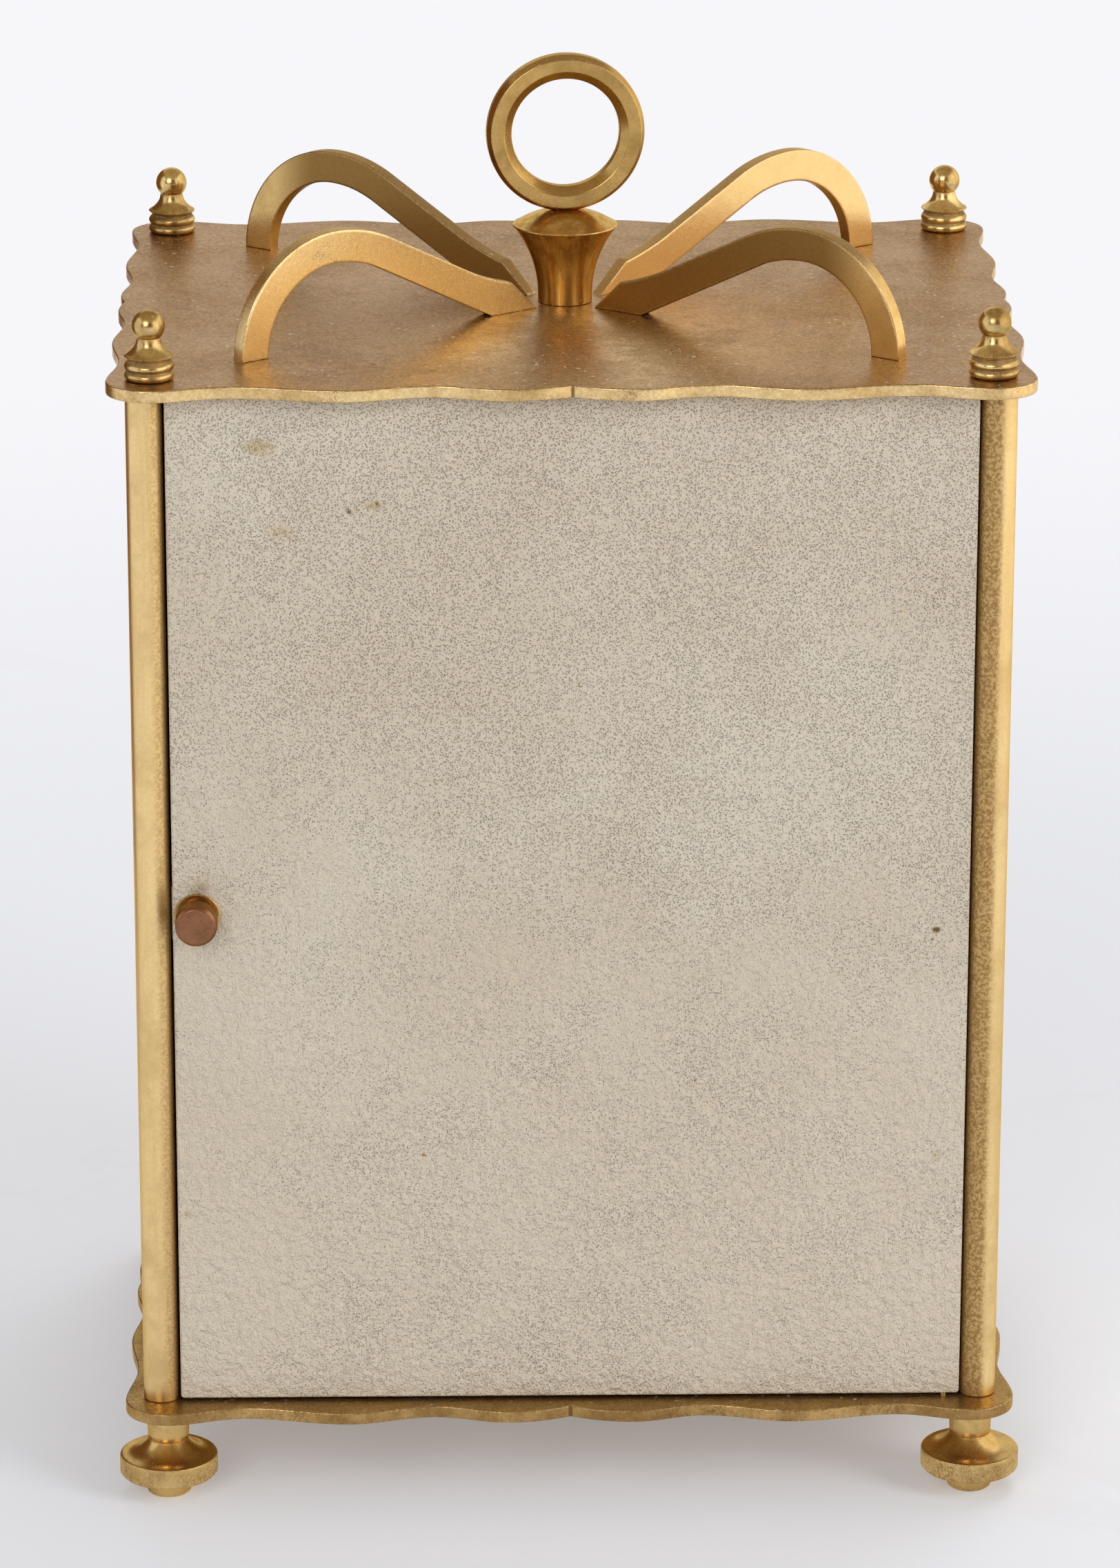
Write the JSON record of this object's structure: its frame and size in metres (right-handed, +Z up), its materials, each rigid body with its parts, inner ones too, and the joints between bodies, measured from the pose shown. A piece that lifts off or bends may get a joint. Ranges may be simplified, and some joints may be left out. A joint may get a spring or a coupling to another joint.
{
  "type": "lantern clock",
  "caption": "Four-column brass lantern clock with a hinged back door, arched top straps, a ring handle and a hand-wound balance movement.",
  "frame": {"origin": "on the table plane, at the middle of the four feet", "axes": "+Z up, -Y towards the dial, +Y towards the back door, +X to the right for someone who looks at the dial"},
  "size_m": [0.1514, 0.1202, 0.2348],
  "materials": {
    "plate_brass": "polished edge with speckled tarnish",
    "top_plate_brass": "dulled brownish brass with dust",
    "column_brass": "polished",
    "turned_brass": "polished, darkened in the grooves",
    "strap_brass": "satin with speckled tarnish",
    "ring_brass": "satin",
    "knob_bronze": "dark, polished",
    "cream_paint": "cream wrinkle paint with small dark pits and stains",
    "dial_brass": "satin",
    "movement_brass": "satin",
    "steel": "turned",
    "blued_steel": "blued"
  },
  "bodies": {
    "case": {"base_plate": "plate_brass", "top_plate": "top_plate_brass", "column_front_left": "column_brass", "column_front_right": "column_brass", "column_back_left": "column_brass", "column_back_right": "column_brass", "finial_front_left": "turned_brass", "finial_front_right": "turned_brass", "finial_back_left": "turned_brass", "finial_back_right": "turned_brass", "foot_front_left": "turned_brass", "foot_front_right": "turned_brass", "foot_back_left": "turned_brass", "foot_back_right": "turned_brass", "strap_front_left": "strap_brass", "strap_front_right": "strap_brass", "strap_back_left": "strap_brass", "strap_back_right": "strap_brass", "crown_pedestal": "turned_brass", "handle_ring": "ring_brass", "crown_screw": "steel", "case_screws": "steel", "front_panel": "cream_paint", "left_panel": "cream_paint", "right_panel": "cream_paint", "hour_markers": "dial_brass", "front_movement_plate": "movement_brass", "back_movement_plate": "movement_brass", "movement_pillars": "movement_brass", "pillar_nuts": "steel", "click_spring": "blued_steel", "balance_cock": "movement_brass"},
    "door": {"back_door": "cream_paint", "door_pivots": "steel", "door_knob": "knob_bronze", "knob_washer": "movement_brass", "knob_nut": "movement_brass", "door_catch": "steel"},
    "minute": {"centre_arbor": "steel", "set_knob": "movement_brass", "cannon_pinion": "steel", "minute_hand": "dial_brass", "hand_nut": "dial_brass"},
    "hour": {"hour_wheel": "movement_brass", "hour_hand": "dial_brass"},
    "minute_wheel": {"minute_wheel": "movement_brass"},
    "centre": {"centre_wheel": "movement_brass"},
    "third": {"third_wheel": "movement_brass"},
    "fourth": {"fourth_wheel": "movement_brass"},
    "escape": {"escape_wheel": "movement_brass"},
    "barrel": {"barrel": "movement_brass", "mainspring": "blued_steel"},
    "winding": {"winding_arbor": "steel", "ratchet_wheel": "steel", "winding_key": "movement_brass"},
    "click": {"click": "steel"},
    "lever": {"pallet_lever": "steel"},
    "balance": {"balance_wheel": "movement_brass", "hairspring": "blued_steel"},
    "regulator": {"regulator": "steel"}
  },
  "joints": [
    {"name": "door_hinge", "type": "hinge", "parent": "case", "child": "door", "pos_m": [-0.0627, 0.0534, 0.1], "axis": [0, 0, 1], "range_deg": [0, 120]},
    {"name": "hand_setting", "type": "hinge", "parent": "case", "child": "minute", "pos_m": [0, 0, 0.104], "axis": [0, 1, 0], "continuous": true},
    {"name": "hour_follow", "type": "hinge", "parent": "case", "child": "hour", "pos_m": [0, 0, 0.104], "axis": [0, 1, 0], "continuous": true},
    {"name": "minute_wheel_turn", "type": "hinge", "parent": "case", "child": "minute_wheel", "pos_m": [-0.01128, 0, 0.0999], "axis": [0, 1, 0], "continuous": true},
    {"name": "fourth_turn", "type": "hinge", "parent": "case", "child": "fourth", "pos_m": [-0.00445, 0, 0.1227], "axis": [0, 1, 0], "continuous": true},
    {"name": "third_turn", "type": "hinge", "parent": "case", "child": "third", "pos_m": [0.01032, 0, 0.11875], "axis": [0, 1, 0], "continuous": true},
    {"name": "centre_turn", "type": "hinge", "parent": "case", "child": "centre", "pos_m": [0, 0, 0.104], "axis": [0, 1, 0], "continuous": true},
    {"name": "barrel_turn", "type": "hinge", "parent": "case", "child": "barrel", "pos_m": [0, 0, 0.077], "axis": [0, 1, 0], "continuous": true},
    {"name": "escape_turn", "type": "hinge", "parent": "case", "child": "escape", "pos_m": [-0.01832, 0, 0.12515], "axis": [0, 1, 0], "continuous": true},
    {"name": "winding", "type": "hinge", "parent": "case", "child": "winding", "pos_m": [0, 0, 0.077], "axis": [0, 1, 0], "continuous": true},
    {"name": "click_pivot", "type": "hinge", "parent": "case", "child": "click", "pos_m": [-0.01294, 0, 0.07359], "axis": [0, 1, 0], "range_deg": [-12, 0], "stiffness_Nm_per_rad": 0.002, "springref_deg": 20.05},
    {"name": "lever_pivot", "type": "hinge", "parent": "case", "child": "lever", "pos_m": [-0.01651, 0, 0.13243], "axis": [0, 1, 0], "range_deg": [-5, 5]},
    {"name": "balance_turn", "type": "hinge", "parent": "case", "child": "balance", "pos_m": [-0.01201, 0, 0.14022], "axis": [0, 1, 0], "range_deg": [-120, 120], "stiffness_Nm_per_rad": 0.000016},
    {"name": "regulator_turn", "type": "hinge", "parent": "case", "child": "regulator", "pos_m": [-0.01201, 0, 0.14022], "axis": [0, 1, 0], "range_deg": [-20, 20]}
  ],
  "couplings": [
    {"joint": "hour_follow", "follows": "hand_setting", "ratio": 0.083333},
    {"joint": "minute_wheel_turn", "follows": "hand_setting", "ratio": -0.33333},
    {"joint": "third_turn", "follows": "fourth_turn", "ratio": -0.13333},
    {"joint": "centre_turn", "follows": "fourth_turn", "ratio": 0.016667},
    {"joint": "barrel_turn", "follows": "fourth_turn", "ratio": -0.0020833},
    {"joint": "escape_turn", "follows": "fourth_turn", "ratio": -10}
  ]
}
